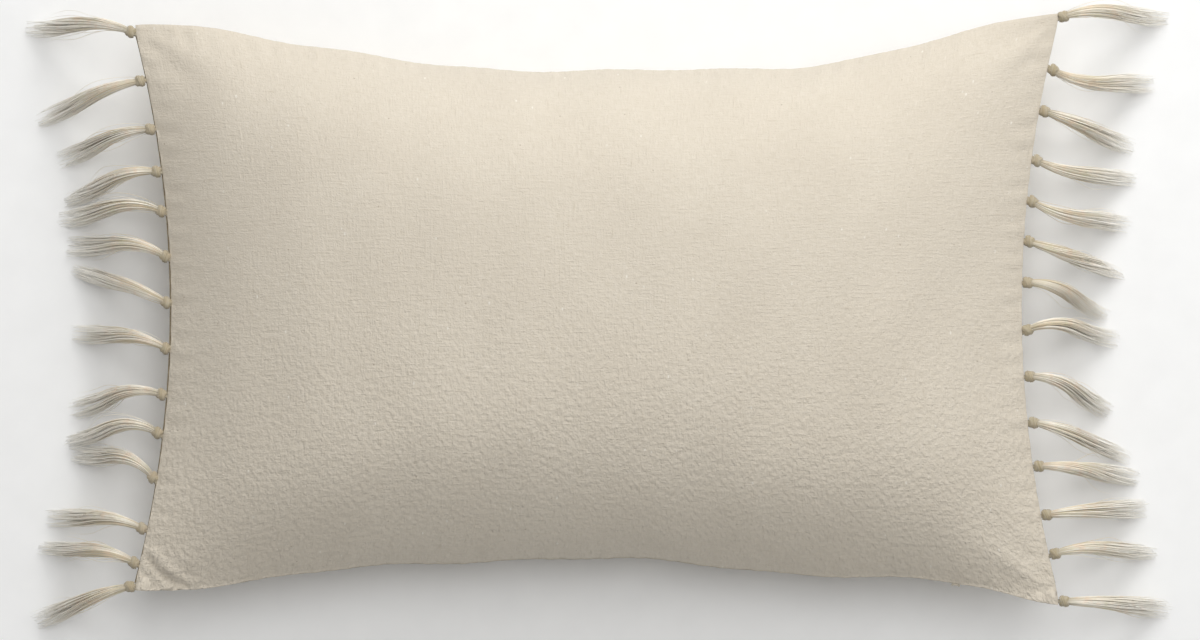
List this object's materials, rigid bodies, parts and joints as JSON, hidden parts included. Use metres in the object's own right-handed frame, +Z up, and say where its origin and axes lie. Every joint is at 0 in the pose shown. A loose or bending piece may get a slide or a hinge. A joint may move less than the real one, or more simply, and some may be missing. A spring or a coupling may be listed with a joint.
{
  "type": "throw pillow",
  "caption": "Rectangular lumbar throw pillow: plump woven cover with a concealed bottom zipper over a fibre-filled insert, and a knotted tassel fringe along both short ends.",
  "frame": {"origin": "middle of the flat patch that the pillow rests on, under the middle of its cover", "axes": "+X along the pillow's length, +Y towards its top seam, +Z up out of its front face"},
  "size_m": [0.7968, 0.4208, 0.1465],
  "materials": {
    "linen": "matte",
    "yarn": "matte",
    "tape": "matte",
    "thread": "matte",
    "zipper_tape": "matte",
    "zipper_coil": "satin",
    "slider": "satin",
    "ticking": "matte",
    "fibre": "matte"
  },
  "bodies": {
    "cushion": {"front_panel": "linen", "back_panel": "linen", "top_seam_thread": "thread", "bottom_seam_thread": "thread", "left_seam_thread": "thread", "right_seam_thread": "thread", "left_tassel_tape": "tape", "right_tassel_tape": "tape", "zipper_tape_front": "zipper_tape", "zipper_tape_back": "zipper_tape", "zipper_coil_front": "zipper_coil", "zipper_coil_back": "zipper_coil", "zipper_top_stop": "zipper_coil", "zipper_bottom_stop": "zipper_coil", "zipper_stitching": "thread", "insert_front_panel": "ticking", "insert_back_panel": "ticking", "insert_seam_thread": "thread", "filling": "fibre"},
    "zipper_slider": {"zipper_slider": "slider"},
    "zipper_pull": {"zipper_pull": "slider"},
    "left_tassel_01": {"left_tassel_01": "yarn"},
    "left_tassel_02": {"left_tassel_02": "yarn"},
    "left_tassel_03": {"left_tassel_03": "yarn"},
    "left_tassel_04": {"left_tassel_04": "yarn"},
    "left_tassel_05": {"left_tassel_05": "yarn"},
    "left_tassel_06": {"left_tassel_06": "yarn"},
    "left_tassel_07": {"left_tassel_07": "yarn"},
    "left_tassel_08": {"left_tassel_08": "yarn"},
    "left_tassel_09": {"left_tassel_09": "yarn"},
    "left_tassel_10": {"left_tassel_10": "yarn"},
    "left_tassel_11": {"left_tassel_11": "yarn"},
    "left_tassel_12": {"left_tassel_12": "yarn"},
    "left_tassel_13": {"left_tassel_13": "yarn"},
    "left_tassel_14": {"left_tassel_14": "yarn"},
    "right_tassel_01": {"right_tassel_01": "yarn"},
    "right_tassel_02": {"right_tassel_02": "yarn"},
    "right_tassel_03": {"right_tassel_03": "yarn"},
    "right_tassel_04": {"right_tassel_04": "yarn"},
    "right_tassel_05": {"right_tassel_05": "yarn"},
    "right_tassel_06": {"right_tassel_06": "yarn"},
    "right_tassel_07": {"right_tassel_07": "yarn"},
    "right_tassel_08": {"right_tassel_08": "yarn"},
    "right_tassel_09": {"right_tassel_09": "yarn"},
    "right_tassel_10": {"right_tassel_10": "yarn"},
    "right_tassel_11": {"right_tassel_11": "yarn"},
    "right_tassel_12": {"right_tassel_12": "yarn"},
    "right_tassel_13": {"right_tassel_13": "yarn"},
    "right_tassel_14": {"right_tassel_14": "yarn"}
  },
  "joints": [
    {"name": "zipper_travel", "type": "hinge", "parent": "cushion", "child": "zipper_slider", "pos_m": [0, -2.221, 0.052], "axis": [0, 0, 1], "range_deg": [0, 13.98]},
    {"name": "zipper_pull_swing", "type": "hinge", "parent": "zipper_slider", "child": "zipper_pull", "pos_m": [0.24925, -0.19094, 0.052], "axis": [-0.9925, 0.1219, 0], "range_deg": [-20, 145]},
    {"name": "left_tassel_01_swing", "type": "hinge", "parent": "cushion", "child": "left_tassel_01", "pos_m": [-0.31999, 0.191, 0.052], "axis": [0.0876, 0.9962, 0], "range_deg": [-50, 115]},
    {"name": "left_tassel_02_swing", "type": "hinge", "parent": "cushion", "child": "left_tassel_02", "pos_m": [-0.31247, 0.15853, 0.052], "axis": [-0.293, 0.9561, 0], "range_deg": [-50, 115]},
    {"name": "left_tassel_03_swing", "type": "hinge", "parent": "cushion", "child": "left_tassel_03", "pos_m": [-0.3065, 0.12701, 0.052], "axis": [-0.2429, 0.9701, 0], "range_deg": [-50, 115]},
    {"name": "left_tassel_04_swing", "type": "hinge", "parent": "cushion", "child": "left_tassel_04", "pos_m": [-0.30185, 0.0955, 0.052], "axis": [-0.2254, 0.9743, 0], "range_deg": [-50, 115]},
    {"name": "left_tassel_05_swing", "type": "hinge", "parent": "cushion", "child": "left_tassel_05", "pos_m": [-0.29851, 0.06399, 0.052], "axis": [-0.0351, 0.9994, 0], "range_deg": [-50, 115]},
    {"name": "left_tassel_06_swing", "type": "hinge", "parent": "cushion", "child": "left_tassel_06", "pos_m": [-0.2965, 0.03247, 0.052], "axis": [0.1402, 0.9901, 0], "range_deg": [-50, 115]},
    {"name": "left_tassel_07_swing", "type": "hinge", "parent": "cushion", "child": "left_tassel_07", "pos_m": [-0.2958, 0, 0.052], "axis": [0.293, 0.9561, 0], "range_deg": [-50, 115]},
    {"name": "left_tassel_08_swing", "type": "hinge", "parent": "cushion", "child": "left_tassel_08", "pos_m": [-0.29642, -0.03056, 0.052], "axis": [0.1553, 0.9879, 0], "range_deg": [-50, 115]},
    {"name": "left_tassel_09_swing", "type": "hinge", "parent": "cushion", "child": "left_tassel_09", "pos_m": [-0.29836, -0.06207, 0.052], "axis": [-0.1402, 0.9901, 0], "range_deg": [-50, 115]},
    {"name": "left_tassel_10_swing", "type": "hinge", "parent": "cushion", "child": "left_tassel_10", "pos_m": [-0.30161, -0.09359, 0.052], "axis": [-0.0175, 0.9998, 0], "range_deg": [-50, 115]},
    {"name": "left_tassel_11_swing", "type": "hinge", "parent": "cushion", "child": "left_tassel_11", "pos_m": [-0.30586, -0.12319, 0.052], "axis": [0.2078, 0.9782, 0], "range_deg": [-50, 115]},
    {"name": "left_tassel_12_swing", "type": "hinge", "parent": "cushion", "child": "left_tassel_12", "pos_m": [-0.31167, -0.15471, 0.052], "axis": [0.1052, 0.9945, 0], "range_deg": [-50, 115]},
    {"name": "left_tassel_13_swing", "type": "hinge", "parent": "cushion", "child": "left_tassel_13", "pos_m": [-0.31672, -0.17763, 0.052], "axis": [0.0876, 0.9962, 0], "range_deg": [-50, 115]},
    {"name": "left_tassel_14_swing", "type": "hinge", "parent": "cushion", "child": "left_tassel_14", "pos_m": [-0.31999, -0.191, 0.052], "axis": [-0.308, 0.9514, 0], "range_deg": [-50, 115]},
    {"name": "right_tassel_01_swing", "type": "hinge", "parent": "cushion", "child": "right_tassel_01", "pos_m": [0.31999, 0.191, 0.052], "axis": [0.0526, -0.9986, 0], "range_deg": [-50, 115]},
    {"name": "right_tassel_02_swing", "type": "hinge", "parent": "cushion", "child": "right_tassel_02", "pos_m": [0.31312, 0.16162, 0.052], "axis": [-0.1227, -0.9924, 0], "range_deg": [-50, 115]},
    {"name": "right_tassel_03_swing", "type": "hinge", "parent": "cushion", "child": "right_tassel_03", "pos_m": [0.3074, 0.13223, 0.052], "axis": [-0.2579, -0.9662, 0], "range_deg": [-50, 115]},
    {"name": "right_tassel_04_swing", "type": "hinge", "parent": "cushion", "child": "right_tassel_04", "pos_m": [0.30282, 0.10285, 0.052], "axis": [-0.1553, -0.9879, 0], "range_deg": [-50, 115]},
    {"name": "right_tassel_05_swing", "type": "hinge", "parent": "cushion", "child": "right_tassel_05", "pos_m": [0.29938, 0.07346, 0.052], "axis": [-0.2078, -0.9782, 0], "range_deg": [-50, 115]},
    {"name": "right_tassel_06_swing", "type": "hinge", "parent": "cushion", "child": "right_tassel_06", "pos_m": [0.29709, 0.04408, 0.052], "axis": [-0.2579, -0.9662, 0], "range_deg": [-50, 115]},
    {"name": "right_tassel_07_swing", "type": "hinge", "parent": "cushion", "child": "right_tassel_07", "pos_m": [0.29594, 0.01469, 0.052], "axis": [-0.2579, -0.9662, 0], "range_deg": [-50, 115]},
    {"name": "right_tassel_08_swing", "type": "hinge", "parent": "cushion", "child": "right_tassel_08", "pos_m": [0.29594, -0.01469, 0.052], "axis": [-0.0701, -0.9975, 0], "range_deg": [-50, 115]},
    {"name": "right_tassel_09_swing", "type": "hinge", "parent": "cushion", "child": "right_tassel_09", "pos_m": [0.29709, -0.04408, 0.052], "axis": [-0.2754, -0.9613, 0], "range_deg": [-50, 115]},
    {"name": "right_tassel_10_swing", "type": "hinge", "parent": "cushion", "child": "right_tassel_10", "pos_m": [0.29938, -0.07346, 0.052], "axis": [-0.2579, -0.9662, 0], "range_deg": [-50, 115]},
    {"name": "right_tassel_11_swing", "type": "hinge", "parent": "cushion", "child": "right_tassel_11", "pos_m": [0.30282, -0.10285, 0.052], "axis": [-0.1227, -0.9924, 0], "range_deg": [-50, 115]},
    {"name": "right_tassel_12_swing", "type": "hinge", "parent": "cushion", "child": "right_tassel_12", "pos_m": [0.3074, -0.13223, 0.052], "axis": [0.0351, -0.9994, 0], "range_deg": [-50, 115]},
    {"name": "right_tassel_13_swing", "type": "hinge", "parent": "cushion", "child": "right_tassel_13", "pos_m": [0.31312, -0.16162, 0.052], "axis": [-0.0175, -0.9998, 0], "range_deg": [-50, 115]},
    {"name": "right_tassel_14_swing", "type": "hinge", "parent": "cushion", "child": "right_tassel_14", "pos_m": [0.31999, -0.191, 0.052], "axis": [-0.1052, -0.9945, 0], "range_deg": [-50, 115]}
  ]
}
